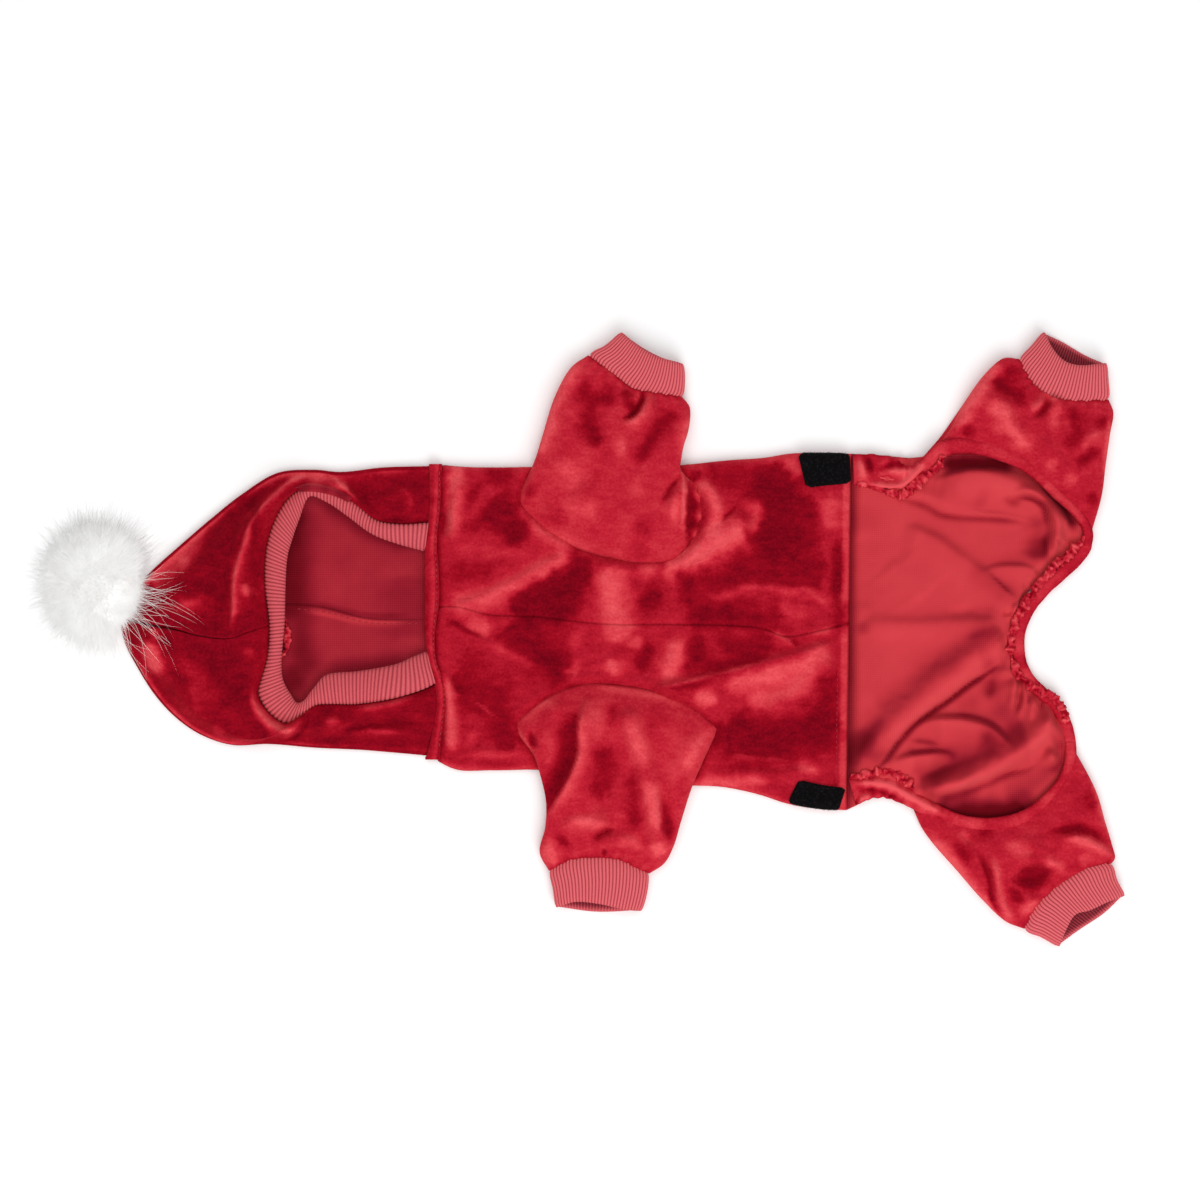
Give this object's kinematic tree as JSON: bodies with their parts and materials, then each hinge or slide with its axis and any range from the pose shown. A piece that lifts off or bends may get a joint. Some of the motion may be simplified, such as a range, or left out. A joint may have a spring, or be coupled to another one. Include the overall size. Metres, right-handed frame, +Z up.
{
  "type": "hooded dog santa costume",
  "caption": "Hooded dog costume in crushed red velour, laid out on its back: short sleeves, hind legs, rib-knit cuffs and face band, fur pompom, belly hem and gathered tail opening.",
  "frame": {"origin": "on the surface that the garment lies on, under the middle of its outline", "axes": "+X to the tail, +Y to the dog's left side, +Z up from the surface, out of the belly"},
  "size_m": [0.5925, 0.3385, 0.057],
  "materials": {
    "velour": "crushed velour with a plain knit back",
    "rib_knit": "matte rib knit, doubled",
    "fur": "long soft white fur",
    "hook_tape": "black hook-and-loop tape"
  },
  "bodies": {
    "root": {"hood_left": "velour", "hood_right": "velour", "hood_rib_band": "rib_knit", "pompom": "fur", "neck_band": "velour", "front_left": "velour", "front_right": "velour", "back": "velour", "sleeve_left": "velour", "sleeve_right": "velour", "sleeve_cuff_left": "rib_knit", "sleeve_cuff_right": "rib_knit", "leg_left": "velour", "leg_right": "velour", "leg_cuff_left": "rib_knit", "leg_cuff_right": "rib_knit", "tail_binding": "velour", "leg_binding_left": "velour", "leg_binding_right": "velour", "patch_left": "hook_tape", "patch_right": "hook_tape"}
  },
  "joints": []
}
